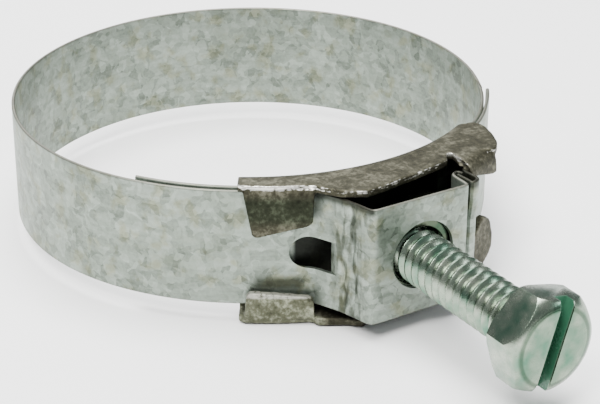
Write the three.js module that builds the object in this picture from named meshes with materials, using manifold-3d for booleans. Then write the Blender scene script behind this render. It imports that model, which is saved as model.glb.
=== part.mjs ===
// Tower hose clamp: a galvanised strip closes round a hose, and a screw lifts the strip's raised tower off a
// saddle, which draws both sides of the strip in. Millimetres, +Z up, origin on the hose's axis at mid-width,
// the tower and the screw towards -Y. The strip is shown as stretches, because it flexes as the clamp closes.
import * as THREE from 'three';
import { mergeVertices } from 'three/addons/utils/BufferGeometryUtils.js';
import Module from 'manifold-3d';

const wasm = await Module();
wasm.setup();

// Driving dimensions
const HOSE_RADIUS = 28.5;          // inner face of the single-layer ring
const STRIP_WIDTH = 14.3;
const STRIP_THICK = 0.45;
const SHEET_THICK = 0.9;           // saddle sheet
const LAYER_GAP = 0.15;            // air between layers that lie on each other
const JOINT_GAP = 0.3;             // air between two stretches of strip
const LEFT_RISE = 0.5;             // how far the strip stands off the tongue at the left tabs
const LAP_RISE = 0.25;             // how far the anchor strip stands off the ring that it laps
const TAIL_FLARE = 0.3;            // how far its free end is bent outward
const SADDLE_TOP = 8.2;            // outer faces of the flanges
const SADDLE_BOTTOM = -9.2;
const SADDLE_RADIUS = 27.9;        // inner face of the saddle's base
const PLATE_HALF_WIDTH = 6.5;
const PLATE_FACE = 37.6;           // outer face of the tower plate, from the hose's axis
const CLEARANCE_HOLE_RADIUS = 4.05;
const SCREW_RADIUS = 3.175;        // quarter inch
const SCREW_LENGTH = 26.5;         // under the head
const SCREW_DROP = 0.45;           // how far the screw and the nut hang below mid-width in the clearance hole
const HEAD_ACROSS_CORNERS = 11.8;
const HEAD_HEIGHT = 4.6;
const HEAD_CHAMFER = 0.9;
const HEAD_TURN = 226;             // degrees, a corner of the hexagon
const SLOT_TURN = 73;
const SLOT_WIDTH = 1.8;
const SLOT_DEPTH = 1.6;
const NUT_ACROSS_FLATS = 11.1;
const NUT_THICK = 4;
const THREAD_CLEARANCE = 0.095;
const TIP_CHAMFER = 0.7;
const TIP_GAP = 0.3;               // between the screw's tip and the strip that it bears on
const D_HOLE_LEFT = -11.9;         // D-shaped hole in the left foot, rounded on its left
const D_HOLE_RIGHT = -8.65;
const D_HOLE_HALF_HEIGHT = 2.0;
const D_HOLE_MIDDLE = -0.6;        // height of its middle
const CUT_DEPTH = 20;              // length of every cutter

// Angles round the hose, in degrees from the screw's axis, positive to the right of the screw
const TONGUE_END = -57;
const SADDLE_LEFT = -33.5;
const SADDLE_RIGHT = 27;
const LEFT_SLACK_END = -44;
const LEFT_FOOT_END = -34;
const TONGUE_SEAM = 60;            // where the tongue's stretch meets the ring's right side
const RIGHT_SLACK_END = 38;
const OUTER_TAIL_END = 57;
const ARC_STEP = 3;
const BASE_STEPS = 22;
const ROUND_SEGMENTS = 48;

const STRIP_HALF = STRIP_WIDTH / 2;
const INNER_LAYER = SADDLE_RADIUS + SHEET_THICK + LAYER_GAP;
const OUTER_LAYER = INNER_LAYER + STRIP_THICK + LAYER_GAP;
const STRIP_MIDDLE = STRIP_THICK / 2;

const FINISH = {
  strip: { color: 0xb4bdb5, roughness: 0.42, metalness: 0.9 },
  saddle: { color: 0x8a877c, roughness: 0.55, metalness: 0.9 },
  zinc: { color: 0xbcc8bf, roughness: 0.25, metalness: 1 },
};
const clamp = new THREE.Group();

function addPart(name, geometry, finish) {
  const mesh = new THREE.Mesh(geometry, new THREE.MeshStandardMaterial(FINISH[finish]));
  mesh.name = name;
  clamp.add(mesh);
}

// Closed three.js geometry to a manifold solid, and back
function solid(geometry) {
  const bare = geometry.index ? geometry.toNonIndexed() : geometry.clone();
  for (const key of Object.keys(bare.attributes)) if (key !== 'position') bare.deleteAttribute(key);
  const merged = mergeVertices(bare, 1e-4);
  return new wasm.Manifold(new wasm.Mesh({
    numProp: 3,
    vertProperties: new Float32Array(merged.attributes.position.array),
    triVerts: new Uint32Array(merged.index.array),
  }));
}

function toGeometry(manifold) {
  const mesh = manifold.getMesh();
  const geometry = new THREE.BufferGeometry();
  geometry.setAttribute('position', new THREE.BufferAttribute(new Float32Array(mesh.vertProperties), 3));
  geometry.setIndex(new THREE.BufferAttribute(new Uint32Array(mesh.triVerts), 1));
  return geometry;
}

const rad = THREE.MathUtils.degToRad;

// A point in plan from an angle round the hose and a radius
function polar(angle, radius) {
  return new THREE.Vector2(radius * Math.sin(rad(angle)), -radius * Math.cos(rad(angle)));
}

// A point in plan from a distance to the right of the screw's axis and a distance out from the hose's axis
function plan(right, out) {
  return new THREE.Vector2(right, -out);
}

function smooth(a, b, x) {
  return THREE.MathUtils.smoothstep(x, Math.min(a, b), Math.max(a, b));
}

// Middle of the strip's thickness, outer layer, from the left tabs back round to the right side
function outerRadius(angle) {
  const climb = smooth(-170, -60, angle);
  return HOSE_RADIUS + (OUTER_LAYER + LEFT_RISE - HOSE_RADIUS) * climb + STRIP_MIDDLE;
}

// The same for the inner layer, from the right side through the saddle to the tongue's end
function innerRadius(angle) {
  const settle = smooth(46, 80, angle);
  return INNER_LAYER + (HOSE_RADIUS - INNER_LAYER) * settle + STRIP_MIDDLE;
}

function arc(from, to, radiusAt) {
  const steps = Math.max(2, Math.round(Math.abs(to - from) / ARC_STEP));
  const points = [];
  for (let i = 0; i <= steps; i++) {
    const angle = from + ((to - from) * i) / steps;
    points.push(polar(angle, radiusAt(angle)));
  }
  return points;
}

// Rounds the inner corners of a line of points
function roundCorners(points, radius) {
  const out = [points[0]];
  for (let i = 1; i < points.length - 1; i++) {
    const before = points[i - 1].clone().sub(points[i]);
    const after = points[i + 1].clone().sub(points[i]);
    const reach = Math.min(radius, before.length() / 2.1, after.length() / 2.1);
    const start = points[i].clone().addScaledVector(before.normalize(), reach);
    const end = points[i].clone().addScaledVector(after.normalize(), reach);
    out.push(...new THREE.QuadraticBezierCurve(start, points[i], end).getPoints(4));
  }
  out.push(points[points.length - 1]);
  return out;
}

// Outline of a sheet of a given thickness, seen edge on, along the middle of the sheet
function sheetOutline(points, thickness) {
  const sides = [[], []];
  points.forEach((point, i) => {
    const back = points[Math.max(i - 1, 0)];
    const front = points[Math.min(i + 1, points.length - 1)];
    const first = point.clone().sub(back).normalize();
    const second = front.clone().sub(point).normalize();
    const along = first.add(second).normalize();
    const normal = new THREE.Vector2(-along.y, along.x);
    const bend = i && i < points.length - 1 ? point.clone().sub(back).normalize().dot(along) : 1;
    const reach = thickness / 2 / Math.max(bend, 0.5);
    sides[0].push(point.clone().addScaledVector(normal, reach));
    sides[1].push(point.clone().addScaledVector(normal, -reach));
  });
  return new THREE.Shape([...sides[0], ...sides[1].reverse()]);
}

function prism(shape, bottom, top) {
  const settings = { depth: top - bottom, bevelEnabled: false, curveSegments: 24 };
  const geometry = new THREE.ExtrudeGeometry(shape, settings);
  return geometry.translate(0, 0, bottom);
}

function strip(points) {
  return prism(sheetOutline(points, STRIP_THICK), -STRIP_HALF, STRIP_HALF);
}

// Round cutter along the screw's axis
function roundHole(radius) {
  const hole = new THREE.CylinderGeometry(radius, radius, CUT_DEPTH, ROUND_SEGMENTS);
  return hole.translate(0, -PLATE_FACE, 0);
}

// Strip: tongue under the saddle's channel, ring, and the tail that laps the ring on the right
const halfGap = THREE.MathUtils.radToDeg(JOINT_GAP / 2 / HOSE_RADIUS);

addPart('band_tongue', strip(arc(TONGUE_END, TONGUE_SEAM - halfGap, innerRadius)), 'strip');
addPart('band_right_arc', strip(arc(TONGUE_SEAM + halfGap, 90 - halfGap, innerRadius)), 'strip');
addPart('band_back_arc', strip(arc(-270 + halfGap, -90 - halfGap, outerRadius)), 'strip');
addPart('band_left_arc', strip(arc(-90 + halfGap, LEFT_SLACK_END - halfGap, outerRadius)), 'strip');
const leftSlack = arc(LEFT_SLACK_END + halfGap, LEFT_FOOT_END - halfGap, outerRadius);
addPart('band_left_slack', strip(leftSlack), 'strip');

// Left foot: leaves the ring under the tabs and climbs to the tower, with a D-shaped hole
const footTop = [plan(-9.5, 29.4), plan(-8.0, 32.75)];
const footPath = roundCorners([...arc(LEFT_FOOT_END + halfGap, -31, outerRadius), ...footTop], 0.8);
const dArcMiddle = D_HOLE_LEFT + D_HOLE_HALF_HEIGHT;
const dHole = new THREE.Shape();
dHole.moveTo(dArcMiddle, -D_HOLE_HALF_HEIGHT);
dHole.lineTo(D_HOLE_RIGHT, -D_HOLE_HALF_HEIGHT);
dHole.lineTo(D_HOLE_RIGHT, D_HOLE_HALF_HEIGHT);
dHole.lineTo(dArcMiddle, D_HOLE_HALF_HEIGHT);
dHole.absarc(dArcMiddle, 0, D_HOLE_HALF_HEIGHT, Math.PI / 2, (3 * Math.PI) / 2, false);
const dCutter = prism(dHole, 0, CUT_DEPTH).rotateX(Math.PI / 2).translate(0, -CUT_DEPTH, D_HOLE_MIDDLE);
addPart('band_left_foot', toGeometry(solid(strip(footPath)).subtract(solid(dCutter))), 'strip');

// Tower: two legs, the plate with the screw's clearance hole, and the hooked seam at its right end
const PLATE_MIDDLE = PLATE_FACE - STRIP_MIDDLE;
const legPath = roundCorners([plan(-7.9, 33.05), plan(-7.5, 34.4), plan(-7.2, 35.7)], 0.8);
addPart('band_left_leg', strip(legPath), 'strip');
const platePath = roundCorners([
  plan(-7.1, 36.05), plan(-PLATE_HALF_WIDTH - 0.3, PLATE_MIDDLE), plan(PLATE_HALF_WIDTH - 0.45, PLATE_MIDDLE),
  plan(6.05, 34.3), plan(7.2, 33.8), plan(7.3, 34.7)], 0.9);
const plate = solid(strip(platePath)).subtract(solid(roundHole(CLEARANCE_HOLE_RADIUS)));
addPart('tower_plate', toGeometry(plate), 'strip');

// Anchor strip: hooks into the plate's curl, passes under the ears and laps the ring
const hookPath = roundCorners([plan(6.67, 34.6), plan(6.67, 36.4), plan(7.3, 36.4)], 0.3);
addPart('anchor_hook', strip(hookPath), 'strip');
const anchorLeg = roundCorners([plan(7.6, 36.35), plan(7.88, 36.15), plan(7.9, 34.4)], 0.3);
addPart('anchor_leg', strip(anchorLeg), 'strip');
const shoulder = [plan(7.92, 34.1), plan(8.15, 33.65), plan(9.6, 33.1), plan(11.0, 32.55), plan(11.7, 31.5),
  plan(13.2, 28.2)];
addPart('anchor_shoulder', strip(roundCorners(shoulder, 0.9)), 'strip');
const lapRadius = OUTER_LAYER + LAP_RISE + STRIP_MIDDLE;
const rightSlack = [plan(13.45, 27.9), polar(29.5, 30.4), polar(33, lapRadius), polar(36.5, lapRadius),
  polar(RIGHT_SLACK_END - halfGap, lapRadius)];
addPart('anchor_slack', strip(rightSlack), 'strip');
const tailRadius = (angle) => lapRadius - LAYER_GAP + TAIL_FLARE * smooth(44, 61, angle);
addPart('anchor_tail', strip(arc(RIGHT_SLACK_END + halfGap, OUTER_TAIL_END, tailRadius)), 'strip');

// Captive square nut behind the plate
const nutFace = PLATE_FACE - STRIP_THICK - JOINT_GAP;
const nutBlock = new THREE.BoxGeometry(NUT_ACROSS_FLATS, NUT_THICK, NUT_ACROSS_FLATS);
nutBlock.translate(0, -(nutFace - NUT_THICK / 2), 0);
const nut = solid(nutBlock).subtract(solid(roundHole(SCREW_RADIUS + THREAD_CLEARANCE)));
addPart('captive_nut', toGeometry(nut.translate([0, 0, -SCREW_DROP])), 'zinc');

// Screw: its tip bears on the strip over the saddle's base
const tip = INNER_LAYER + STRIP_THICK + TIP_GAP;
const headBase = tip + SCREW_LENGTH;
const headFace = headBase + HEAD_HEIGHT;
const insideHead = headBase + 0.5;

// Solid of revolution about the screw's axis, from pairs of radius and distance out from the hose's axis
function turned(pairs) {
  const profile = pairs.map(([radius, out]) => new THREE.Vector2(radius, -out));
  return solid(new THREE.LatheGeometry(profile.reverse(), ROUND_SEGMENTS));
}

const shaft = turned([[0, tip], [SCREW_RADIUS - TIP_CHAMFER, tip], [SCREW_RADIUS, tip + TIP_CHAMFER],
  [SCREW_RADIUS, insideHead], [0, insideHead]]);
const headRadius = HEAD_ACROSS_CORNERS / 2;
const hexagon = new THREE.CylinderGeometry(headRadius, headRadius, HEAD_HEIGHT, 6);
hexagon.rotateY(rad(90 - HEAD_TURN)).translate(0, -(headBase + HEAD_HEIGHT / 2), 0);
const roundBlank = headRadius + 0.1;
const chamferedBlank = turned([[0, headBase - 1], [roundBlank, headBase - 1],
  [roundBlank, headFace - HEAD_CHAMFER], [headRadius - 1.3 * HEAD_CHAMFER, headFace], [0, headFace]]);
const slot = new THREE.BoxGeometry(CUT_DEPTH, 2 * SLOT_DEPTH, SLOT_WIDTH);
slot.rotateY(-rad(SLOT_TURN)).translate(0, -headFace, 0);
const head = solid(hexagon).intersect(chamferedBlank).subtract(solid(slot));
addPart('clamp_screw', toGeometry(head.add(shaft).translate([0, 0, -SCREW_DROP])), 'zinc');

// Saddle: curved base, two flanges, two tabs folded over the strip on the left and two ears on the right.
// A fold is the line of a flap's outer face in plan, from left to right.
const UPPER_TAB = [plan(-17.0, 26.75), plan(-10.2, 31.0)];
const LOWER_TAB = [plan(-16.9, 26.7), plan(-10.1, 30.95)];
const UPPER_EAR = [plan(8.6, 35.05), plan(13.2, 33.25)];
const LOWER_EAR = [plan(8.7, 35.0), plan(12.6, 33.5)];

// The fold line moved in by half the sheet, where the flange meets the flap
function foldMiddle([from, to]) {
  const along = to.clone().sub(from).normalize();
  const inward = new THREE.Vector2(-along.y, along.x).multiplyScalar(SHEET_THICK / 2);
  return [from.clone().add(inward), to.clone().add(inward)];
}

function flangeOutline(tab, ear) {
  const inner = [];
  for (let i = 0; i <= BASE_STEPS; i++) {
    inner.push(polar(SADDLE_RIGHT + ((SADDLE_LEFT - SADDLE_RIGHT) * i) / BASE_STEPS, SADDLE_RADIUS));
  }
  return new THREE.Shape([...inner, ...foldMiddle(tab),
    plan(-8.2, 33.2), plan(-5.8, 34.8), plan(-0.9, 34.1), plan(6.8, 32.7), plan(foldMiddle(ear)[0].x, 33.6),
    ...foldMiddle(ear), plan(14.9, 30.7), plan(15.9, 28.2), plan(15.0, 26.4)]);
}

// A flap that hangs from a flange: an upright sheet along its fold, with a free edge that may slope
function flap([from, to], zRoot, zFrom, zTo, inset) {
  const length = from.distanceTo(to);
  const outline = new THREE.Shape([new THREE.Vector2(0, zRoot), new THREE.Vector2(length, zRoot),
    new THREE.Vector2(length - 0.2, zTo), new THREE.Vector2(inset, zFrom)]);
  const geometry = new THREE.ExtrudeGeometry(outline, { depth: SHEET_THICK, bevelEnabled: false });
  geometry.rotateX(Math.PI / 2).translate(0, SHEET_THICK, 0);
  return geometry.rotateZ(to.clone().sub(from).angle()).translate(from.x, from.y, 0);
}

const baseMiddle = arc(SADDLE_LEFT, SADDLE_RIGHT, () => SADDLE_RADIUS + SHEET_THICK / 2);
const base = prism(sheetOutline(baseMiddle, SHEET_THICK), SADDLE_BOTTOM, SADDLE_TOP);
const saddlePieces = [
  base,
  prism(flangeOutline(UPPER_TAB, UPPER_EAR), SADDLE_TOP - SHEET_THICK, SADDLE_TOP),
  prism(flangeOutline(LOWER_TAB, LOWER_EAR), SADDLE_BOTTOM, SADDLE_BOTTOM + SHEET_THICK),
  flap(UPPER_TAB, SADDLE_TOP, 1.0, 2.8, 1.2),
  flap(LOWER_TAB, SADDLE_BOTTOM, -5.0, -5.6, 0.5),
  flap(UPPER_EAR, SADDLE_TOP, 5.8, 5.2, 0.2),
  flap(LOWER_EAR, SADDLE_BOTTOM, -0.9, -2.2, 2.0),
];
const saddle = saddlePieces.map(solid).reduce((whole, piece) => whole.add(piece));
addPart('saddle', toGeometry(saddle), 'saddle');

export default clamp;
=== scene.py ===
# %% [markdown]
# # A tower hose clamp
# A tower clamp holds a hose on a pipe stub. A galvanised steel strip runs once round the hose. On one side
# of a pressed saddle it climbs into a little tower, and a screw that bears on the saddle pushes the tower
# outward, so the ring closes. The packed CAD model is loaded first, as a fixed frame: it says where each
# real piece lies and which body it moves with. Everything below is in metres and in that same frame, with
# sizes written in millimetres and scaled once, because that is how a maker would measure the clamp.

# %% Load the frame
import math

import bmesh
import bpy
import numpy as np
from mathutils import Matrix, Vector


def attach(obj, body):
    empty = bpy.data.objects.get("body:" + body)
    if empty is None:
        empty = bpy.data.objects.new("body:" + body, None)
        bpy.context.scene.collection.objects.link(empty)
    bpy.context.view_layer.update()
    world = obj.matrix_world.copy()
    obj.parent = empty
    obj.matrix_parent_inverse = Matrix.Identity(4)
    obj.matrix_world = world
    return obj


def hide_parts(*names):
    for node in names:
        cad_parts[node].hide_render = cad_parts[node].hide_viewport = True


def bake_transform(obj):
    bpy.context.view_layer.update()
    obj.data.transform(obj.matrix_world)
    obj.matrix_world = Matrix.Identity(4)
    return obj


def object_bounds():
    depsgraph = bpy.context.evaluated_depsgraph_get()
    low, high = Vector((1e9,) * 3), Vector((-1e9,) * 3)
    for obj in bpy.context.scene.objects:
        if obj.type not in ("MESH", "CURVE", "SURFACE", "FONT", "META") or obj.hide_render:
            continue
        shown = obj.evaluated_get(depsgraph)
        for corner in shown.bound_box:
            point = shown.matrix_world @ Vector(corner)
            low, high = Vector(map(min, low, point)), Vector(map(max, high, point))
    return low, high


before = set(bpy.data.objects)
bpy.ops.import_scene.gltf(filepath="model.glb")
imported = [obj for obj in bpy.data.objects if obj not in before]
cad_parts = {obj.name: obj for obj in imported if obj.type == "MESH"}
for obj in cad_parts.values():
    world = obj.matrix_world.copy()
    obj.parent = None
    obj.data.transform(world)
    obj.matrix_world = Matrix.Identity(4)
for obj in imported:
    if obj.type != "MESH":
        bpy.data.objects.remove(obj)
cad_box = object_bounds()
MM = 0.001
print("CAD box, mm:", [[round(c / MM, 1) for c in corner] for corner in cad_box])

# %% [markdown]
# The camera looks down on the clamp from the left of the screw, with a long lens, so the ring reads as a
# calm oval and the screw comes towards the viewer. A camera can be turned by angles or aimed at a point.
# Aiming is easier to read: the view's backward axis is the line from the aim to the camera, and its other
# two axes follow.

# %% Camera
EYE = Vector((-107.76, -182.75, 94.42)) * MM
AIM = Vector((5.39, -3.18, -9.14)) * MM
ROLL = math.radians(0.24)

camera = bpy.data.objects.new("camera", bpy.data.cameras.new("camera"))
camera.data.lens, camera.data.sensor_width = 109.3, 36
camera.data.clip_start, camera.data.clip_end = 0.01, 10
back = (EYE - AIM).normalized()
across = Vector((0, 0, 1)).cross(back).normalized()
above = back.cross(across)
right = across * math.cos(ROLL) + above * math.sin(ROLL)
above = back.cross(right)
camera.matrix_world = Matrix.Translation(EYE) @ Matrix((right, above, back)).transposed().to_4x4()
bpy.context.collection.objects.link(camera)
bpy.context.scene.camera = camera
print("camera stands", round((EYE - AIM).length / MM), "mm from its aim")

# %% [markdown]
# Shader nodes do arithmetic, and wires between node sockets are hard to read as code. The class below wraps
# one socket, so that `1 - mask * 2` adds the nodes that work it out. Colours and vectors have their own
# calls, because a Math node would turn a colour grey. Every other node comes from `node`.

# %% Wires that do arithmetic
class Wire:
    def __init__(self, tree, socket=None):
        self.tree, self.socket = tree, socket

    def node(self, kind, settings=None, out=0, **inputs):
        """A new node: its settings, then values or wires for its sockets. i6 means socket number 6."""
        made = self.tree.nodes.new(kind)
        for key, value in (settings or {}).items():
            if key == "stops":
                ramp = made.color_ramp.elements
                while len(ramp) < len(value):
                    ramp.new(0.5)
                for stop, (place, colour) in zip(ramp, value):
                    stop.position, stop.color = place, (*colour, 1)
            else:
                setattr(made, key, value)
        for key, value in inputs.items():
            number = key[1:].isdigit() and key[0] == "i"
            socket = made.inputs[int(key[1:]) if number else key.replace("_", " ")]
            if isinstance(value, Wire):
                self.tree.links.new(value.socket, socket)
            else:
                socket.default_value = value
        return Wire(self.tree, made.outputs[out])

    def maths(self, operation, first, second=0.0):
        return self.node("ShaderNodeMath", {"operation": operation}, i0=first, i1=second)

    def __add__(self, other):
        return self.maths("ADD", self, other)

    def __radd__(self, other):
        return self.maths("ADD", other, self)

    def __sub__(self, other):
        return self.maths("SUBTRACT", self, other)

    def __rsub__(self, other):
        return self.maths("SUBTRACT", other, self)

    def __mul__(self, other):
        return self.maths("MULTIPLY", self, other)

    def __rmul__(self, other):
        return self.maths("MULTIPLY", other, self)

    def size(self):
        return self.maths("ABSOLUTE", self)

    def between(self, low, high):
        """0 below low and 1 above high, with a soft step between."""
        return self.node("ShaderNodeMapRange", {"interpolation_type": "SMOOTHSTEP"},
                         Value=self, From_Min=low, From_Max=high)

    def within(self, low, high, soft):
        """1 between low and high, with soft steps just inside them, and 0 elsewhere."""
        return self.between(low, low + soft) * (1 - self.between(high - soft, high))

    def axis(self, letter):
        """The X, Y or Z of a vector."""
        return self.node("ShaderNodeSeparateXYZ", Vector=self, out=letter)

    def scaled(self, by):
        """A vector times another, axis by axis."""
        return self.node("ShaderNodeVectorMath", {"operation": "MULTIPLY"}, i0=self, i1=by)

    def shifted(self, by):
        return self.node("ShaderNodeVectorMath", {"operation": "ADD"}, i0=self, i1=by)

    def blended(self, other, share):
        """This colour, going over to another as share goes from 0 to 1."""
        return self.node("ShaderNodeMix", {"data_type": "RGBA"}, out=2, Factor=share, i6=self, i7=other)

    def tinted(self, other, share=1.0):
        """This colour times another."""
        return self.node("ShaderNodeMix", {"data_type": "RGBA", "blend_type": "MULTIPLY"}, out=2,
                         Factor=share, i6=self, i7=other)


print("calls of a wire:", [name for name in vars(Wire) if not name.startswith("_")])

# %% [markdown]
# Each finish starts from the same two things: a metal shader, and the place of a point on the piece in
# millimetres. Using the piece's own coordinates keeps the pattern fixed to the metal when the clamp moves.

# %% Start of a finish
def new_finish(name, metallic):
    material = bpy.data.materials.new(name)
    material.use_nodes = True
    tree = material.node_tree
    shader = tree.nodes["Principled BSDF"]
    shader.inputs["Metallic"].default_value = metallic
    start = Wire(tree)
    place = start.node("ShaderNodeTexCoord", out="Object").scaled((1 / MM,) * 3)
    return material, shader, start, place


def feed(shader, start, base, roughness, height, depth):
    """Connects a finish's colour, roughness and relief. depth is the relief's height in millimetres."""
    start.tree.links.new(base.socket, shader.inputs["Base Color"])
    start.tree.links.new(roughness.socket, shader.inputs["Roughness"])
    bump = start.node("ShaderNodeBump", Strength=1.0, Distance=depth * MM, Height=height)
    start.tree.links.new(bump.socket, shader.inputs["Normal"])


def grain(start, place, scale, detail=3.0, out="Factor", **more):
    """Cloudy noise; scale is in patches per millimetre."""
    return start.node("ShaderNodeTexNoise", out="Fac" if out == "Factor" else out,
                      Vector=place, Scale=scale, Detail=detail, **more)


print("a finish counts", round(1 / MM), "mm to the metre")

# %% [markdown]
# Hot-dip galvanised strip is pale grey with a faint green cast. The zinc froze in crystals, the spangle,
# which show as patches about 2 mm wide that differ a little in tone and in gloss. Rolling and handling leave
# soft streaks along the strip, and grey-brown stains gather in places. A Voronoi pattern gives one random
# value per crystal; it is warped by noise first, because real crystals have ragged edges. The tongue is made
# of the same strip, but the part that lies under the tower is painted nearly black, as painted shade. The
# strip's long edges are painted dark brown, as painted shade. The leg is darkened in noisy streaks where it
# buckled, and painted shade darkens the strip above the lower tab, under the saddle's upper flange and inside
# the hooked curl, so those places have masks.

# %% Galvanised strip
def galvanised_strip(name, shaded_under_tower=False):
    material, shader, start, place = new_finish(name, 0.82)
    wander = grain(start, place, 0.5, 2.0, out="Color").shifted((-0.5,) * 3).scaled((2.4,) * 3)
    ragged = place.shifted(wander)
    crystal = start.node("ShaderNodeTexVoronoi", Vector=ragged, Scale=0.42, out="Color")
    tone = start.node("ShaderNodeSeparateColor", Color=crystal)
    small = start.node("ShaderNodeTexVoronoi", Vector=ragged, Scale=1.15, out="Color")
    small_tone = start.node("ShaderNodeSeparateColor", Color=small, out="Green")
    cloud = grain(start, place, 0.13, 4.0)
    streak = grain(start, place.scaled((0.16, 0.16, 1.7)), 1.0, 4.0)
    speck = grain(start, place, 2.6, 3.0)
    mottle = tone * 0.2 + small_tone * 0.22 + streak * 0.33 + speck * 0.25
    base = start.node("ShaderNodeValToRGB", {"stops": [
        (0.27, (0.10, 0.118, 0.096)), (0.48, (0.205, 0.24, 0.202)), (0.75, (0.33, 0.375, 0.328))]},
        Fac=mottle)
    stain = cloud.between(0.53, 0.72) * streak.between(0.35, 0.65)
    base = base.tinted((0.66, 0.66, 0.58, 1), stain * 0.75)
    base = base.tinted((0.62, 0.60, 0.56, 1), speck.between(0.62, 0.75) * 0.5)
    base = base.tinted((0.86, 0.80, 0.64, 1), grain(start, place, 0.4, 5.0).between(0.52, 0.66) * 0.8)
    right, level = place.axis("X"), place.axis("Z")
    front = 1 - place.axis("Y").between(-24.5, -23.5)
    # Painted shade: the strip's long edges are painted dark brown, so they don't shine where they lie in
    # shadow.
    base = base.blended((0.13, 0.125, 0.10, 1), level.size().between(6.95, 7.12) * 0.8)
    # The leg is darkened in noisy streaks that run along its height.
    leg_noise = grain(start, place.scaled((1.2, 1.2, 0.35)), 1.0)
    leg_streaks = right.within(-8.7, -7.0, 0.5) * leg_noise.between(0.44, 0.62)
    # Painted shadow: the strip is darkened just above the lower tab, which stands off it.
    tab_shadow = right.within(-16.0, -9.8, 1.2) * level.within(-5.9, -3.2, 1.1)
    # Painted shadow: a dark line on the strip just under the saddle's upper flange.
    flange_shadow = right.within(-10.4, -6.4, 0.4) * level.between(5.9, 6.8)
    # Painted shade: the hook and the plate's curl are darkened inside, under the upper ear.
    curl = right.within(6.28, 8.4, 0.1) * level.between(5.9, 6.6)
    # The leg's streaks and the three painted shades darken the colour, on the front of the clamp only.
    for shade, mask in ((0.35, leg_streaks), (0.2, tab_shadow), (0.15, flange_shadow), (0.2, curl)):
        base = base.tinted((shade, shade, shade * 0.9, 1), mask * front)
    # Painted shade: under the tower the tongue is painted nearly black.
    if shaded_under_tower:
        base = base.tinted((0.05, 0.05, 0.045, 1), right.within(-11.0, 9.0, 0.6))
    roughness = 0.34 + tone * 0.12 + cloud * 0.14
    feed(shader, start, base, roughness, tone * 0.35 + speck * 0.5 + streak * 0.3, 0.012)
    return material


STRIP_FINISH = galvanised_strip("galvanised_strip")
TONGUE_FINISH = galvanised_strip("strip_shaded_under_tower", True)
print("made", STRIP_FINISH.name, "with", len(STRIP_FINISH.node_tree.nodes), "nodes")

# %% [markdown]
# The saddle is thicker pressed steel with a dull brownish-grey, rough skin. On the upper bends and the upper
# flange's outer edge, bright patches are painted: partly metal rubbed bare by the press, partly a painted
# highlight where these faces turn to the lamps. The bends lie near the top and bottom of the saddle; a mask
# from height, from which way the surface faces and from noise finds them, and only the upper ones get the
# patches. The two tabs differ by painted light: the upper one's face is painted dark, as a painted dark
# reflection, and the lower one's is painted paler, with a painted highlight along its upper edge.

# %% Saddle steel
def saddle_steel():
    material, shader, start, place = new_finish("saddle_steel", 0.9)
    pit = grain(start, place, 1.9, 5.0, Roughness=0.65)
    patch = grain(start, place, 0.35, 3.0)
    base = start.node("ShaderNodeValToRGB", {"stops": [
        (0.34, (0.016, 0.015, 0.009)), (0.5, (0.05, 0.048, 0.032)), (0.66, (0.17, 0.163, 0.12))]},
        Fac=pit * 0.55 + patch * 0.45)
    level = place.axis("Z")
    height = (level + 0.5).size()
    upright = 1 - start.node("ShaderNodeNewGeometry", out="Normal").axis("Z").size()
    # Bright patches on the upper bends: partly metal rubbed bare, partly a highlight painted where these faces
    # turn to the lamps.
    bend = height.between(7.4, 8.4) * upright.between(0.04, 0.3)
    on_tab = 1 - place.axis("X").between(-10.2, -8.8)
    spark = grain(start, place.scaled((1.0, 1.0, 2.2)), 1.7, 4.0)
    wear_and_highlight = (bend * level.between(0, 1) * (patch * 0.5 + spark * 0.7 + on_tab * 0.12)).between(0.58, 0.72)
    # Painted highlight along the lower tab's upper edge, where its thickness catches the light.
    lip_highlight = on_tab * level.between(-5.95, -5.7) * (1 - level.between(-4.6, -4.4)) * pit.between(0.3, 0.5)
    # Painted dark reflection on the upper tab's face.
    tab_dark_reflection = on_tab * level.between(2.6, 4.4) * (1 - level.between(6.2, 7.4))
    base = base.tinted((0.45, 0.55, 0.48, 1), tab_dark_reflection)
    # Painted light: the lower tab's face is painted paler, more than twice as bright as the rest.
    base = base.tinted((2.3, 2.5, 2.5, 1), on_tab * (1 - level.between(-5.0, -3.0)))
    base = base.blended((0.66, 0.65, 0.60, 1), wear_and_highlight + lip_highlight * 0.45)
    roughness = (0.5 + pit * 0.2) - wear_and_highlight * 0.28
    feed(shader, start, base, roughness, pit + patch * 0.4, 0.05)
    return material


SADDLE_FINISH = saddle_steel()
print("made", SADDLE_FINISH.name, "with", len(SADDLE_FINISH.node_tree.nodes), "nodes")

# %% [markdown]
# The screw and the nut are bright zinc with a thin passivated film, which gives soft green and grey tints;
# the nut, deep in the tower, is painted much darker, as painted shade. The head's face was turned, so it has
# fine rings round the screw's axis, and a dark ring is painted where the face rolls into its chamfer, as a
# painted dark reflection. The slot was cut before plating and holds a deep green film. Rings, dark ring and
# slot all come from the distance to the axis and to the slot's middle line.

# %% Bright zinc
HEAD_FACE, SCREW_DROP = 60.8, 0.45
SLOT_TURN, SLOT_HALF, SLOT_DEEP = math.radians(73), 0.9, 1.6


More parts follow.
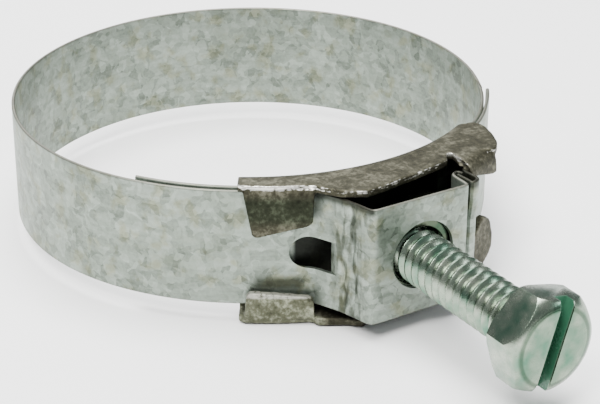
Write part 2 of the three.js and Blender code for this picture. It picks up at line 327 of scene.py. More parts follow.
def bright_zinc(name, with_head):
    material, shader, start, place = new_finish(name, 1.0)
    film = grain(start, place, 0.45, 2.0)
    fine = grain(start, place, 3.0, 3.0)
    base = start.node("ShaderNodeValToRGB", {"stops": [
        (0.3, (0.10, 0.20, 0.14)), (0.5, (0.20, 0.26, 0.20)), (0.7, (0.33, 0.37, 0.30))]}, Fac=film)
    base = base.tinted((0.72, 0.74, 0.70, 1), fine.between(0.5, 0.8) * 0.5)
    relief = fine * 0.6 + film * 0.4
    # Painted shade: the nut is painted much darker, for the shade deep in the tower.
    if not with_head:
        base = base.tinted((0.3, 0.3, 0.26, 1))
    else:
        aside, out, above = place.axis("X"), 0 - place.axis("Y"), place.axis("Z") + SCREW_DROP
        from_axis = start.maths("POWER", aside * aside + above * above, 0.5)
        face = out.between(HEAD_FACE - 0.25, HEAD_FACE - 0.1)
        rings = start.maths("SINE", from_axis * 21) * 0.5 + 0.5
        relief = relief + rings * face * 0.35
        off_slot = (aside * math.sin(SLOT_TURN) - above * math.cos(SLOT_TURN)).size()
        below_face = 1 - out.between(HEAD_FACE - 0.35, HEAD_FACE - 0.1)
        groove = (1 - off_slot.between(SLOT_HALF, SLOT_HALF + 0.06)) * below_face
        in_head = out.between(HEAD_FACE - SLOT_DEEP - 0.15, HEAD_FACE - SLOT_DEEP - 0.05)
        base = base.tinted((0.72, 0.78, 0.74, 1), face)
        # Painted dark reflection: a dark ring where the face rolls into its chamfer.
        rim = face * from_axis.between(4.05, 4.3) * (1 - from_axis.between(4.45, 4.8))
        base = base.tinted((0.35, 0.42, 0.38, 1), rim * 0.8)
        base = base.blended((0.024, 0.09, 0.05, 1), groove * in_head)
        start.tree.links.new((1 - groove * in_head * 0.85).socket, shader.inputs["Metallic"])
    feed(shader, start, base, 0.16 + film * 0.12 + fine * 0.08, relief, 0.01)
    return material


SCREW_FINISH = bright_zinc("screw_zinc", True)
NUT_FINISH = bright_zinc("nut_zinc", False)
print("made", SCREW_FINISH.name, "and", NUT_FINISH.name)

# %% [markdown]
# Every piece of the clamp except the screw and the nut is bent sheet. A bent sheet is a line in plan, seen
# along the hose, given a thickness and a width. It could be an extruded curve, but dents, holes and clean
# rolled edges are wanted, so the mesh is made directly: a closed section with rounded edges is carried along
# the line. A point in plan is a distance to the right of the screw's axis and a distance out from the hose's
# axis.

# %% Lines in plan
def polar(angle, radius):
    """A point round the hose; the angle is in degrees from the screw's axis, positive to the right."""
    return np.array([radius * math.sin(math.radians(angle)), radius * math.cos(math.radians(angle))])


def smooth(low, high, x):
    t = min(max((x - low) / (high - low), 0.0), 1.0)
    return t * t * (3 - 2 * t)


def arc(start, end, radius_at, step=1.0):
    count = max(2, round(abs(end - start) / step))
    angles = [start + (end - start) * i / count for i in range(count + 1)]
    return [polar(angle, radius_at(angle)) for angle in angles]


def rounded(points, radii, steps=6):
    """Rounds each inner corner of a line with a curve that starts a given distance before it."""
    points = [np.array(p, float) for p in points]
    out = [points[0]]
    for i in range(1, len(points) - 1):
        before, after = points[i - 1] - points[i], points[i + 1] - points[i]
        longest = min(np.linalg.norm(before), np.linalg.norm(after)) / 2.05
        reach = min(radii[i - 1] if isinstance(radii, (list, tuple)) else radii, longest)
        a = points[i] + before / np.linalg.norm(before) * reach
        b = points[i] + after / np.linalg.norm(after) * reach
        out += [(1 - t) ** 2 * a + 2 * t * (1 - t) * points[i] + t * t * b for t in np.linspace(0, 1, steps)]
    return out + [points[-1]]


def spaced(points, step):
    """The same line with its points an even distance apart, and its length."""
    points = np.array(points)
    keep = np.r_[True, np.linalg.norm(np.diff(points, axis=0), axis=1) > 1e-6]
    points = points[keep]
    along = np.r_[0, np.cumsum(np.linalg.norm(np.diff(points, axis=0), axis=1))]
    count = max(2, round(along[-1] / step))
    places = np.linspace(0, along[-1], count + 1)
    return np.stack([np.interp(places, along, points[:, k]) for k in (0, 1)], -1), along[-1]


print("quarter turn of a 28.5 mm ring:", round(spaced(arc(0, 90, lambda a: 28.5), 1.0)[1], 1), "mm")

# %% [markdown]
# The section of the strip is a flat bar with its long edges rounded by rolling. Its two faces get a row of
# points across the width, so that dents can be pushed into them, and two rows close to each edge, which keep
# the shading of the flat face flat. A dent function moves both faces together, as it does in real thin
# sheet.

# %% Bent sheet
STRIP, HALF_WIDTH = 0.45, 7.15
SHARP = math.radians(38)


def tube_faces(rows, count):
    """The faces of a tube through rows of rings with count points each, closed at both ends."""
    faces = []
    for i in range(rows - 1):
        for j in range(count):
            n = (j + 1) % count
            faces.append((i * count + j, i * count + n, (i + 1) * count + n, (i + 1) * count + j))
    return faces + [tuple(range(count)), tuple(range((rows - 1) * count, rows * count))]


def object_from(name, vertices, faces, finish, sharp=SHARP):
    """A piece from points in millimetres, smooth except at corners sharper than the given angle."""
    mesh = bpy.data.meshes.new(name)
    mesh.from_pydata([tuple(c * MM for c in v) for v in vertices], [], faces)
    mesh.validate()
    made = bmesh.new()
    made.from_mesh(mesh)
    bmesh.ops.recalc_face_normals(made, faces=made.faces)
    made.to_mesh(mesh)
    made.free()
    mesh.shade_smooth()
    mesh.set_sharp_from_angle(angle=sharp)
    mesh.materials.append(finish)
    piece = bpy.data.objects.new(name, mesh)
    bpy.context.collection.objects.link(piece)
    return piece


def section(half_width, half_thick, across_step):
    """Points round the bar's section as (offset across the thickness, height), outer face first."""
    curl = min(half_thick, 0.18)
    inner = half_width - curl
    rows = max(2, round(2 * inner / across_step))
    heights = [-inner, -inner + 0.12, *np.linspace(-inner, inner, rows + 1)[1:-1], inner - 0.12, inner]
    outer = [(half_thick, z) for z in heights]
    turns = np.linspace(0, math.pi, 7)[1:-1]
    edge = [(half_thick * math.cos(t), inner + curl * math.sin(t)) for t in turns]
    under = [(-half_thick, z) for z in reversed(heights)]
    edge_below = [(-half_thick * math.cos(t), -inner - curl * math.sin(t)) for t in turns]
    return outer + edge + under + edge_below


def sheet(name, line, finish, step=0.6, across_step=1.2, push=None, slide=None, trim=None):
    """A bent sheet along a line. push(point, height) moves the sheet out along its own normal, in millimetres,
    slide(point, height) moves it right, and trim(point) gives what is taken off its outer and inner face."""
    line, length = spaced(line, step)
    ahead = np.gradient(line, axis=0)
    ahead /= np.linalg.norm(ahead, axis=1)[:, None]
    normals = np.stack([-ahead[:, 1], ahead[:, 0]], -1)
    ring = section(HALF_WIDTH, STRIP / 2, across_step)
    vertices, count = [], len(ring)
    for point, normal in zip(line, normals):
        for offset, height in ring:
            outer_cut, inner_cut = trim(point) if trim else (0, 0)
            offset -= outer_cut * (offset / STRIP + 0.5) - inner_cut * (0.5 - offset / STRIP)
            moved = point + normal * (offset + (push(point, height) if push else 0))
            shift = slide(point, height) if slide else 0
            vertices.append((moved[0] + shift, -moved[1], height))
    faces = tube_faces(len(line), count)
    piece = object_from(name, vertices, faces, finish)
    print(f"{name}: {length:.1f} mm of sheet, {len(faces)} faces")
    return piece


print("points round the strip's section:", len(section(HALF_WIDTH, STRIP / 2, 1.2)))

# %% [markdown]
# A hole is cut with a solid cutter and a Boolean modifier, which is then turned into plain mesh. The cutter
# runs along the screw's axis.

# %% Cutting and finishing a mesh
def bake_modifiers(piece, sharp=SHARP):
    """Replaces a piece's mesh with what its modifiers make of it."""
    shape = bpy.data.meshes.new_from_object(piece.evaluated_get(bpy.context.evaluated_depsgraph_get()))
    piece.modifiers.clear()
    piece.data = shape
    shape.shade_smooth()
    shape.set_sharp_from_angle(angle=sharp)


def combine(piece, other, operation):
    step = piece.modifiers.new(operation.lower(), "BOOLEAN")
    step.operation, step.object, step.solver = operation, other, "EXACT"
    bake_modifiers(piece)
    bpy.data.objects.remove(other)
    return piece


def turned(name, profile, finish, count=64):
    """A solid turned about the screw's axis, from pairs of radius and distance out from the hose's axis."""
    vertices = []
    for radius, out in profile:
        for k in range(count):
            t = 2 * math.pi * k / count
            vertices.append((radius * math.cos(t), -out, radius * math.sin(t)))
    return object_from(name, vertices, tube_faces(len(profile), count), finish)


def extruded(name, outline, low, high, finish):
    """An upright solid from an outline in (right, height), between two distances out from the hose's axis."""
    vertices = [(x, -low, z) for x, z in outline] + [(x, -high, z) for x, z in outline]
    return object_from(name, vertices, tube_faces(2, len(outline)), finish)


print("corners sharper than", round(math.degrees(SHARP)), "degrees stay sharp")

# %% [markdown]
# The ring is one long strip on the real clamp. It starts as a tongue that lies in the saddle's channel, over
# its base, goes once round the hose, laps over itself at the left and rises into the tower. Here it is made
# in the stretches that the frame moves: neighbouring stretches share the same line and section, so they meet
# without a step. The loop has to be open somewhere, and here that is on the right. There the two ends
# overlap in a long scarf, each filed away on one face, so that when they slide a small step shows there, and
# no light.

# %% Radii of the ring
RING, INNER, OUTER = 28.5, 28.95, 29.55
LEFT_RISE = 0.5


def outer_radius(angle):
    return RING + (OUTER + LEFT_RISE - RING) * smooth(-170, -60, angle) + STRIP / 2


def inner_radius(angle):
    return INNER + (RING - INNER) * smooth(36, 70, angle) + STRIP / 2


print("bore of the ring at the back:", round(2 * inner_radius(180) - STRIP, 2), "mm")


# %% Tongue, right side and back of the ring
def settle(piece, body, nodes):
    """The piece rides on a body when one body is named; given a tuple, it stays where it is and the tuple is
    not used. It stands for CAD nodes, which are hidden.
    """
    if isinstance(body, str):
        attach(piece, body)
    else:
        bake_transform(piece)
    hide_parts(*nodes)
    return piece


def at(angle, radius=29.0, height=0.0):
    right, out = polar(angle, radius)
    return right, -out, height


SEAM, SCARF, RUN_IN = 60, 2.2, 0.4      # middle, half length and run-in of the scarf, in degrees round the hose
LEAST_CUT, MOST_CUT = 0.05, 0.42


def turn_of(point):
    return math.degrees(math.atan2(point[0], point[1]))


def under_scarf(point):
    """What the tongue's end loses from its outer and its inner face."""
    return np.interp(turn_of(point), [SEAM - SCARF - RUN_IN, SEAM - SCARF, SEAM + SCARF],
                     [0, LEAST_CUT, MOST_CUT]), 0


def over_scarf(point):
    """What the right side's end loses from its outer and its inner face."""
    return 0, np.interp(turn_of(point), [SEAM - SCARF, SEAM + SCARF, SEAM + SCARF + RUN_IN],
                        [MOST_CUT, LEAST_CUT, 0]) if turn_of(point) > 0 else 0


tongue = sheet("tongue", arc(-57, SEAM + SCARF, inner_radius), TONGUE_FINISH, trim=under_scarf)
settle(tongue, "tongue", ["band_tongue"])
ring_right = sheet("ring_right", arc(SEAM - SCARF, 180, inner_radius), STRIP_FINISH, trim=over_scarf)
settle(ring_right, ("band_back", "band_right", at(102), at(78)), ["band_right_arc"])
ring_back = sheet("ring_back", arc(-180, -75, outer_radius), STRIP_FINISH)
settle(ring_back, ("band_left", "band_back", at(-78), at(-102)), ["band_back_arc"])

# %% [markdown]
# On the left the strip passes under the saddle's two tabs, then leaves the ring as a ramp with a D-shaped
# hole. A short leg takes it up to the tower's flat plate. The leg buckled a little when it was bent, and
# shows a few shallow wedge-shaped creases. Each crease is a small hollow with a centre, a length and a
# width.

# %% Creases of the leg
CREASES = [  # right, out, height, half length along the height, half width along the sheet, depth
    (-7.55, 34.3, 5.5, 1.6, 1.1, 0.42), (-7.5, 34.4, 1.1, 2.3, 0.8, 0.5), (-7.85, 33.4, -2.3, 2.2, 0.55, 0.4),
    (-7.8, 33.6, -5.2, 1.5, 0.7, 0.38), (-8.6, 31.6, 2.9, 1.3, 0.6, 0.22), (-7.3, 35.0, -3.4, 2.0, 0.5, 0.22)]


def crease(point, height):
    depth = 0.0
    for right_at, out_at, mid, half_long, half_wide, deep in CREASES:
        taper = 0.55 + 0.45 * smooth(-half_long, half_long, height - mid)
        x = math.hypot(point[0] - right_at, point[1] - out_at) / (half_wide * taper)
        y = (height - mid) / half_long
        if x * x < 1 and y * y < 1:
            depth += deep * (1 - x * x) ** 1.2 * (1 - y * y)
    return -depth


print("creases:", len(CREASES), "and the deepest is", max(deep for *_, deep in CREASES), "mm")


# %% Ramp and its hole
HOLE_LEFT, HOLE_RIGHT, HOLE_HALF, HOLE_LEVEL = -11.9, -8.3, 2.0, -0.6

ramp_line = rounded([*arc(-75, -31, outer_radius), (-9.5, 29.4), (-8.75, 31.1), (-8.0, 32.75)], 0.9)
ring_left = sheet("ring_left", ramp_line, STRIP_FINISH, step=0.45, across_step=0.55, push=crease)
d_curve = [(HOLE_LEFT + HOLE_HALF - HOLE_HALF * math.sin(t), HOLE_LEVEL + HOLE_HALF * math.cos(t))
           for t in np.linspace(0, math.pi, 17)]
d_outline = [(HOLE_RIGHT, HOLE_LEVEL - HOLE_HALF), (HOLE_RIGHT, HOLE_LEVEL + HOLE_HALF), *d_curve]
combine(ring_left, extruded("d_cutter", d_outline, 20, 40, STRIP_FINISH), "DIFFERENCE")
settle(ring_left, ("saddle", "band_left", at(-33), at(-55)),
       ["band_left_arc", "band_left_slack", "band_left_foot"])

# %% [markdown]
# The leg stretches between the saddle and the tower as the clamp closes, so it is a piece of its own. The
# tower's plate turns a tight corner at each end. At its right end it curls back on itself, and the anchor
# strip hooks into the curl: that is how the two ends of the clamp are joined.

# %% Leg, plate and curl
leg_line = rounded([(-8.0, 32.75), (-7.5, 34.4), (-7.2, 35.5), (-7.1, 36.0)], 0.7)
leg = sheet("leg", leg_line, STRIP_FINISH, step=0.25, across_step=0.4, push=crease)
settle(leg, ("saddle", "tower", (-8.0, -32.8, 0), (-7.2, -35.8, 0)), ["band_left_leg"])

PLATE_FACE, HOLE_RADIUS = 37.6, 4.05
PLATE = PLATE_FACE - STRIP / 2
plate_line = rounded([(-7.1, 36.0), (-6.75, PLATE), (6.05, PLATE), (6.05, 34.3), (7.2, 33.8), (7.3, 34.7)],
                     [1.1, 0.5, 0.8, 0.5])
plate = sheet("tower_plate", plate_line, STRIP_FINISH, step=0.3, across_step=0.6)
countersunk = [(HOLE_RADIUS + 0.25, 38.0), (HOLE_RADIUS, 37.45), (HOLE_RADIUS, 36.0)]
hole = turned("hole_cutter", countersunk, STRIP_FINISH, 72)
combine(plate, hole, "DIFFERENCE")
settle(plate, "tower", ["tower_plate"])

# %% [markdown]
# The anchor strip has the same section. Its hook stands in the plate's curl, it passes under the saddle's
# ears and down the saddle's right side, and its free end laps the ring and flares out a little.

# %% Anchor strip
def slit(point, height):
    """Closes the gap beside the plate's corner at the bottom and opens it near the top."""
    return (0.26 * smooth(2.2, 5.0, height) - 0.13) * smooth(34.6, 36.4, point[1])


hook_line = rounded([(6.67, 34.6), (6.67, 37.15), (7.2, 37.0)], 0.4)
hook = sheet("hook", hook_line, STRIP_FINISH, step=0.2, across_step=0.6, slide=slit)
settle(hook, "tower", ["anchor_hook"])
neck_line = rounded([(7.2, 37.0), (7.72, 36.8), (7.92, 36.2), (7.9, 34.3)], 0.35)
neck = sheet("neck", neck_line, STRIP_FINISH, step=0.15, across_step=0.6, slide=slit)
settle(neck, ("saddle", "tower", (7.9, -34.3, 0), (7.6, -36.3, 0)), ["anchor_leg"])
shoulder_line = rounded([(7.9, 34.3), (8.15, 33.6), (9.6, 33.1), (11.0, 32.55), (11.7, 31.5),
                         (13.3, 28.05)], 0.9)
shoulder = sheet("shoulder", shoulder_line, STRIP_FINISH, step=0.3)
settle(shoulder, "saddle", ["anchor_shoulder"])


def lap_radius(angle):
    """Just outside the tongue, flaring towards the free end."""
    return inner_radius(angle) + STRIP + 0.08 + 0.35 * smooth(46, 60, angle)


lap_line = rounded([(13.3, 28.05), polar(29.5, 30.4), *arc(33, 57, lap_radius)], 0.8)
lap = sheet("lap", lap_line, STRIP_FINISH, step=0.4)
settle(lap, ("saddle", "tongue", at(27), at(38)), ["anchor_slack", "anchor_tail"])

# %% [markdown]
# The saddle is one pressing of thicker sheet: a curved base with a flange above and below, two tabs folded
# over the strip on the left and two ears on the right. Modelling every bend as one clean surface would be
# slow to write and to change. Here each part is a simple closed solid with its own bend, the solids overlap,
# and a voxel remesh fuses them, which also gives the soft edges of a pressing. The remesh works in
# millimetres first.

# %% Solids from rows of points
SHEET, SADDLE_TOP, SADDLE_BOTTOM = 0.9, 8.2, -9.2
BASE_MIDDLE, BEND = 27.9 + SHEET / 2, 1.0
UPPER_MIDDLE, LOWER_MIDDLE = SADDLE_TOP - SHEET / 2, SADDLE_BOTTOM + SHEET / 2


def grid_solid(rows):
    """A closed solid from rows of closed rings of points, all of the same length."""
    return [tuple(p) for row in rows for p in row], tube_faces(len(rows), len(rows[0]))


def profile_ring(line, thick):
    """Both faces of a bent profile as one closed ring of 2-D points."""
    line = np.array(line, float)
    ahead = np.gradient(line, axis=0)
    ahead /= np.linalg.norm(ahead, axis=1)[:, None]
    normal = np.stack([-ahead[:, 1], ahead[:, 0]], -1) * thick / 2
    return np.concatenate([line + normal, (line - normal)[::-1]])


print("flange middles at", round(UPPER_MIDDLE, 2), "and", round(LOWER_MIDDLE, 2), "mm")

# %% [markdown]
# How far each flange reaches out changes round the hose. It is written as a table of angle and radius, read
# off at each step with straight lines between, which is easier to adjust than a formula.

# %% Channel
UPPER_REACH = [(-33.5, 30.8), (-32.4, 31.3), (-18.5, 31.9), (-17.2, 32.6), (-13.9, 34.2), (-9.5, 35.2),
               (-7.0, 34.9), (-1.5, 34.1), (5.0, 33.6), (11.2, 33.4), (12.6, 32.6), (13.6, 32.0), (15.2, 33.0),
               (17.5, 34.0), (25.9, 34.1), (29.0, 32.4), (29.6, 30.4)]
LOWER_REACH = [(-33.5, 30.8), (-32.4, 31.3), (-18.5, 31.9), (-17.4, 32.9), (-12.0, 33.8), (-9.5, 34.9),
               (-8.2, 34.3), (-1.5, 33.6), (11.7, 34.0), (14.0, 35.6), (19.8, 35.2), (22.0, 33.4), (24.7, 32.2),
               (28.2, 31.2), (29.6, 30.2)]
CHANNEL_ANGLES = np.arange(-33.5, 29.61, 0.7)


def channel():
    """Base and flanges: a U-shaped profile carried round the hose, with flanges of changing reach."""
    rows = []
    for angle in CHANNEL_ANGLES:
        reach = [np.interp(angle, *zip(*table)) for table in (UPPER_REACH, LOWER_REACH)]
        corner = BASE_MIDDLE + BEND
        turn = np.linspace(math.pi / 2, math.pi, 9)
        top = [(corner + BEND * math.cos(t), UPPER_MIDDLE - BEND + BEND * math.sin(t)) for t in turn]
        low = [(r, UPPER_MIDDLE + LOWER_MIDDLE - z) for r, z in reversed(top)]
        line = [(reach[0], UPPER_MIDDLE), (reach[0] - 0.5, UPPER_MIDDLE), *top, *low,
                (reach[1] - 0.5, LOWER_MIDDLE), (reach[1], LOWER_MIDDLE)]
        rows.append([(*(polar(angle, r) * (1, -1)), z) for r, z in profile_ring(line, SHEET)])
    return grid_solid(rows)


print("the channel runs from", CHANNEL_ANGLES[0], "to", round(CHANNEL_ANGLES[-1], 1), "degrees")

# %% [markdown]
# A tab or an ear is a flap: the flange runs on, turns through a round bend and hangs down. The lower ear is
# a flat leaf on a narrow root, which is simpler as a slab, and a flat level sheet rounds the corner over the
# upper ear.

# %% Flap, slab and level sheet
def folded(start, end, side, bend, lean, hang, inset_start, inset_end, back_off=3.0, slant=0.0):
    """A flap folded from a flange along a line in plan. hang(share) is how far it reaches past the bend, lean
    is how far in degrees it turns, the insets narrow it towards its free edge and slant skews its root."""
    level = UPPER_MIDDLE if side > 0 else LOWER_MIDDLE
    start, end = np.array(start, float), np.array(end, float)
    along = (end - start) / np.linalg.norm(end - start)
    outward = np.array([-along[1], along[0]])
    rows = []
    for share in np.linspace(0, 1, 33):
        line = [(-back_off, 0.0), (-back_off + 0.5, 0.0)]
        line += [(-SHEET / 2 - bend + bend * math.sin(t), bend * math.cos(t) - bend)
                 for t in np.linspace(0, math.radians(lean), 9)]
        tip, t = np.array(line[-1]), math.radians(lean)
        reach = max(hang(share), 0.05)
        line += [tuple(tip + np.array([math.cos(t), -math.sin(t)]) * reach * k) for k in (0.34, 0.67, 1.0)]
        row = []
        for out, down in profile_ring(line, SHEET):
            depth = min(max(-down / 7, 0), 1)
            aside = (inset_start * (1 - share) - inset_end * share) * depth
            aside += slant * (1 - share) * max(-out - SHEET / 2 - bend, 0) / back_off
            place = share + aside / np.linalg.norm(end - start)
            point = start + (end - start) * place + outward * out
            row.append((point[0], -point[1], level + side * down))
        rows.append(row)
    return grid_solid(rows)


def slab(start, end, outline):
    """A flat upright sheet. Its outer face stands on a line in plan; outline is (along the line, height)."""
    start, end = np.array(start, float), np.array(end, float)
    along = (end - start) / np.linalg.norm(end - start)
    rows = []
    for depth in (0, SHEET / 2, SHEET):
        places = [(start + along * a + np.array([along[1], -along[0]]) * depth, z) for a, z in outline]
        rows.append([(point[0], -point[1], z) for point, z in places])
    return grid_solid(rows)


def level_sheet(outline):
    """A flat level sheet at the height of the upper flange."""
    levels = [UPPER_MIDDLE + SHEET * k for k in (-0.5, 0, 0.5)]
    return grid_solid([[(right, -out, z) for right, out in outline[:-1]] for z in levels])


def corners(share, round_at=0.12):
    """1 in the middle of a free edge, falling to 0 in a quarter circle at its two corners."""
    edge = min(share, 1 - share) / round_at
    return math.sqrt(max(1 - (1 - min(edge, 1)) ** 2, 0))


print("a free edge's corners:", [round(corners(share), 2) for share in (0, 0.03, 0.06, 0.5)])


# %% Parts of the saddle
upper_tab = folded((-17.0, 26.75), (-10.2, 31.0), side=1, bend=0.95, lean=90,
                   hang=lambda s: 5.1 - 1.7 * s - 0.5 * (1 - corners(s)),
                   inset_start=1.3, inset_end=0.3, back_off=2.6)
lower_tab = folded((-16.9, 26.7), (-10.1, 30.95), side=-1, bend=0.95, lean=88,
                   hang=lambda s: 2.7 - 0.6 * s - 0.5 * (1 - corners(s)),
                   inset_start=0.6, inset_end=0.2, back_off=2.6)
upper_ear = folded((8.35, 35.1), (13.3, 33.2), side=1, bend=1.3, lean=88,
                   hang=lambda s: 0.3 + 1.1 * smooth(0.1, 1, s),
                   inset_start=0.0, inset_end=-0.3, back_off=3.4, slant=2.2)
upper_corner = level_sheet(rounded([
    (10.5, 31.5), (12.3, 26.8), (14.3, 25.3), (15.6, 25.4), (16.1, 27.0), (15.5, 29.4), (14.5, 31.7),
    (13.3, 33.0), (11.0, 33.8)], 0.6, 4))
lower_ear = slab((8.7, 35.0), (12.6, 33.5), rounded([
    (0.9, -9.0), (0.8, -6.2), (0.0, -4.0), (0.2, -2.2), (2.5, 0.6), (4.2, -0.6), (5.0, -3.6), (4.4, -5.2),
    (2.9, -6.0), (3.1, -9.0)], 0.9, 4))
parts = [channel(), upper_tab, lower_tab, upper_ear, upper_corner, lower_ear]
print("solids in the saddle:", len(parts))


# %% Fuse the saddle
def fused(name, solids, voxel, keep, finish):
    """One smooth piece from overlapping closed solids given in millimetres."""
    mesh = bpy.data.meshes.new(name)
    vertices, faces = [], []
    for points, quads in solids:
        faces += [tuple(i + len(vertices) for i in quad) for quad in quads]
        vertices += points
    mesh.from_pydata(vertices, [], faces)
    made = bmesh.new()
    made.from_mesh(mesh)
    bmesh.ops.recalc_face_normals(made, faces=made.faces)
    made.to_mesh(mesh)
    made.free()
    piece = bpy.data.objects.new(name, mesh)
    bpy.context.collection.objects.link(piece)
    remesh = piece.modifiers.new("fuse", "REMESH")
    remesh.mode, remesh.voxel_size = "VOXEL", voxel
    soften = piece.modifiers.new("soften", "SMOOTH")
    soften.factor, soften.iterations = 0.5, 3
    thin = piece.modifiers.new("thin", "DECIMATE")
    thin.ratio = keep
    bake_modifiers(piece, math.radians(80))
    piece.data.transform(Matrix.Scale(MM, 4))
    piece.data.materials.clear()
    piece.data.materials.append(finish)
    print(f"{name}: {len(piece.data.polygons)} faces after fusing {len(solids)} solids")
    return piece


saddle = fused("saddle_pressing", parts, 0.15, 0.35, SADDLE_FINISH)
settle(saddle, "saddle", ["saddle"])

# %% [markdown]
# The screw is a quarter-inch one with twenty threads to the inch, so a thread rises 1.27 mm each turn. Its
# thread is a ridge wound on a core, with flanks about 68 degrees apart, a little blunter than the standard
# 60: a closed strip of triangles, tapered at the tip, which sinks slightly into the core. Real threads catch
# the light in a row of fine lines, which a bump map can't do.

# %% Screw shank
PITCH, MAJOR, TIP, HEAD_BASE = 1.27, 3.175, 29.7, 56.2
DEEP = 0.74
ROOT = MAJOR - DEEP


def shank():
    profile = [(ROOT - 0.35, TIP), (ROOT, TIP + 0.35), (ROOT, HEAD_BASE - 0.7), (ROOT + 0.3, HEAD_BASE - 0.1),
               (ROOT + 0.3, HEAD_BASE + 0.5)]
    return turned("core", profile, SCREW_FINISH, 48)


def thread():
    """The ridge, wound right-handed from the tip to the head."""
    steps, turns = 40, (HEAD_BASE - TIP - 1.0) / PITCH
    rows = []
    for i in range(int(turns * steps) + 1):
        angle = 2 * math.pi * i / steps
        mid = TIP + 0.55 + PITCH * i / steps
        grown = smooth(0, 0.9, i / steps) * smooth(0, 0.5, turns - i / steps)
        crest = ROOT + DEEP * max(grown, 0.02)
        half = (0.5 * PITCH - 0.02) * max(grown, 0.05)
        ring = [(ROOT - 0.08, mid - half), (ROOT + 0.02, mid - half), (crest - 0.05, mid - half * 0.26),
                (crest, mid - half * 0.14), (crest, mid + half * 0.14), (crest - 0.05, mid + half * 0.26),
                (ROOT + 0.02, mid + half), (ROOT - 0.08, mid + half)]
        rows.append([(r * math.cos(angle), -out, r * math.sin(angle)) for r, out in ring])
    vertices, faces = grid_solid(rows)
    return object_from("thread", vertices, faces, SCREW_FINISH, math.radians(30))


print("turns of thread:", round((HEAD_BASE - TIP - 1.0) / PITCH, 1))

# %% [markdown]
# The head is a hexagon whose face was turned to a rounded chamfer, with a straight slot for a screwdriver.
# It is cut the way a machinist would: a hexagonal bar, a turned blank that it is cut down to, then the slot,
# and a narrow bevel at the end because plated edges are never knife-sharp.

# %% Screw head
HEX_RADIUS, HEX_TURN = 5.9, math.radians(226)


def head():
    corners_of = [(HEX_RADIUS * math.cos(HEX_TURN + k * math.pi / 3),
                   HEX_RADIUS * math.sin(HEX_TURN + k * math.pi / 3)) for k in range(6)]
    blank = extruded("head", corners_of, HEAD_BASE, HEAD_FACE, SCREW_FINISH)
    lens = [(3.6, HEAD_BASE - 0.5), (5.2, HEAD_BASE - 0.1), (6.0, HEAD_BASE + 0.45), (6.0, HEAD_FACE - 1.75),
            (5.8, HEAD_FACE - 1.25), (5.5, HEAD_FACE - 0.8), (5.1, HEAD_FACE - 0.4), (4.7, HEAD_FACE - 0.15),
            (4.35, HEAD_FACE - 0.05), (4.2, HEAD_FACE)]
    combine(blank, turned("turned_blank", lens, SCREW_FINISH, 96), "INTERSECT")
    c, s = math.cos(SLOT_TURN), math.sin(SLOT_TURN)
    slot = [(a * c - b * s, a * s + b * c) for a, b in
            [(-7, -SLOT_HALF), (7, -SLOT_HALF), (7, SLOT_HALF), (-7, SLOT_HALF)]]
    combine(blank, extruded("slot", slot, HEAD_FACE - SLOT_DEEP, HEAD_FACE + 1, SCREW_FINISH), "DIFFERENCE")
    bevel = blank.modifiers.new("bevel", "BEVEL")
    bevel.width, bevel.segments, bevel.angle_limit = 0.16 * MM, 2, math.radians(35)
    bake_modifiers(blank, math.radians(50))
    return blank


def joined(name, pieces):
    """Several meshes as one piece."""
    made = bmesh.new()
    for piece in pieces:
        made.from_mesh(piece.data)
    mesh = bpy.data.meshes.new(name)
    made.to_mesh(mesh)
    made.free()
    mesh.materials.append(pieces[0].data.materials[0])
    for piece in pieces:
        bpy.data.objects.remove(piece)
    whole = bpy.data.objects.new(name, mesh)
    bpy.context.collection.objects.link(whole)
    print(f"{name}: {len(mesh.polygons)} faces")
    return whole


screw = joined("screw", [shank(), thread(), head()])
screw.data.transform(Matrix.Translation((0, 0, -SCREW_DROP * MM)))
settle(screw, "screw", ["clamp_screw"])

# %% [markdown]
# Behind the plate sits a square nut that can't turn in the tower. Only its rim shows, through the plate's
# hole and through the open top and bottom of the tower. Its bore is threaded, so the wall of the hole has
# grooves; plain rings are enough, because so little of them shows.

# %% Captive nut
NUT_FACE, NUT_DEEP, NUT_HALF = PLATE_FACE - STRIP - 0.3, 4.0, 5.55
NUT_BACK = NUT_FACE - NUT_DEEP
BORE, GROOVE, GROOVE_STEP = 3.27, 3.5, 0.42
square = [(-NUT_HALF, -NUT_HALF), (NUT_HALF, -NUT_HALF), (NUT_HALF, NUT_HALF), (-NUT_HALF, NUT_HALF)]
nut = extruded("nut", square, NUT_BACK, NUT_FACE, NUT_FINISH)
cone = [(6.4, NUT_BACK - 0.1), (6.9, NUT_BACK + 0.6), (7.9, NUT_FACE - 1.9), (7.6, NUT_FACE - 0.9),
        (5.6, NUT_FACE + 0.05)]
combine(nut, turned("nut_blank", cone, NUT_FINISH, 96), "INTERSECT")
grooves = [(3.75, NUT_FACE + 0.2), (BORE, NUT_FACE - 0.35)]
grooves += [(BORE if k % 2 else GROOVE, NUT_FACE - 0.35 - GROOVE_STEP * (k + 1)) for k in range(8)]
grooves += [(BORE, NUT_BACK + 0.2), (3.6, NUT_BACK - 0.1)]
combine(nut, turned("bore", grooves, NUT_FINISH, 64), "DIFFERENCE")
bevel = nut.modifiers.new("bevel", "BEVEL")
bevel.width, bevel.segments, bevel.angle_limit = 0.12 * MM, 2, math.radians(40)
bake_modifiers(nut, math.radians(50))
nut.data.transform(Matrix.Translation((0, 0, -SCREW_DROP * MM)))
settle(nut, "tower", ["captive_nut"])
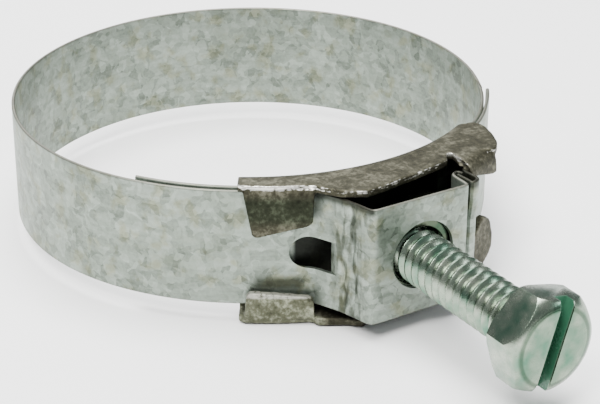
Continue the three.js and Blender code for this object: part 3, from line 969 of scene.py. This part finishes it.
print("nut:", len(nut.data.polygons), "faces")

# %% [markdown]
# The clamp lies on a plain pale floor. The light is a studio's: a dim, even sky, a large soft lamp straight
# above that lights the floor, one from the upper left that gives the metal its shine, a weaker one from the
# right that lifts the shadows, and one from behind for the rims.

# %% Floor and light
def pale_floor():
    material, shader, start, place = new_finish("pale_floor", 0.0)
    cloud = grain(start, place, 0.02, 2.0)
    base = start.node("ShaderNodeValToRGB", {"stops": [
        (0.3, (0.93, 0.93, 0.93)), (0.7, (0.95, 0.95, 0.95))]}, Fac=cloud)
    feed(shader, start, base, 0.7 + cloud * 0.1, cloud, 0.02)
    return material


floor_mesh = bpy.data.meshes.new("floor")
reach = 4.0
floor_mesh.from_pydata([(-reach, -reach, 0), (reach, -reach, 0), (reach, reach, 0), (-reach, reach, 0)], [],
                       [(0, 1, 2, 3)])
floor_mesh.materials.append(pale_floor())
floor = bpy.data.objects.new("floor", floor_mesh)
floor.location.z = cad_box[0][2] - 0.0002
bpy.context.collection.objects.link(floor)

sky = bpy.data.worlds.new("sky")
sky.use_nodes = True
sky.node_tree.nodes["Background"].inputs["Color"].default_value = (0.93, 0.97, 1.0, 1)
sky.node_tree.nodes["Background"].inputs["Strength"].default_value = 0.35
bpy.context.scene.world = sky


def soft_lamp(name, place, size, power, colour=(1, 1, 1)):
    lamp = bpy.data.lights.new(name, "AREA")
    lamp.shape, lamp.size, lamp.energy, lamp.color = "DISK", size, power, colour
    holder = bpy.data.objects.new(name, lamp)
    holder.location = place
    holder.rotation_euler = (Vector((0, -0.02, 0)) - Vector(place)).to_track_quat("-Z", "Y").to_euler()
    bpy.context.collection.objects.link(holder)


soft_lamp("top", (0, 0.1, 1.2), 1.2, 46.0)
soft_lamp("key", (-0.35, -0.25, 0.55), 0.25, 5.0, (1.0, 0.99, 0.96))
soft_lamp("fill", (0.45, -0.4, 0.25), 0.2, 1.0, (0.94, 0.98, 1.0))
soft_lamp("rim", (0.1, 0.5, 0.35), 0.4, 2.0)

# %% [markdown]
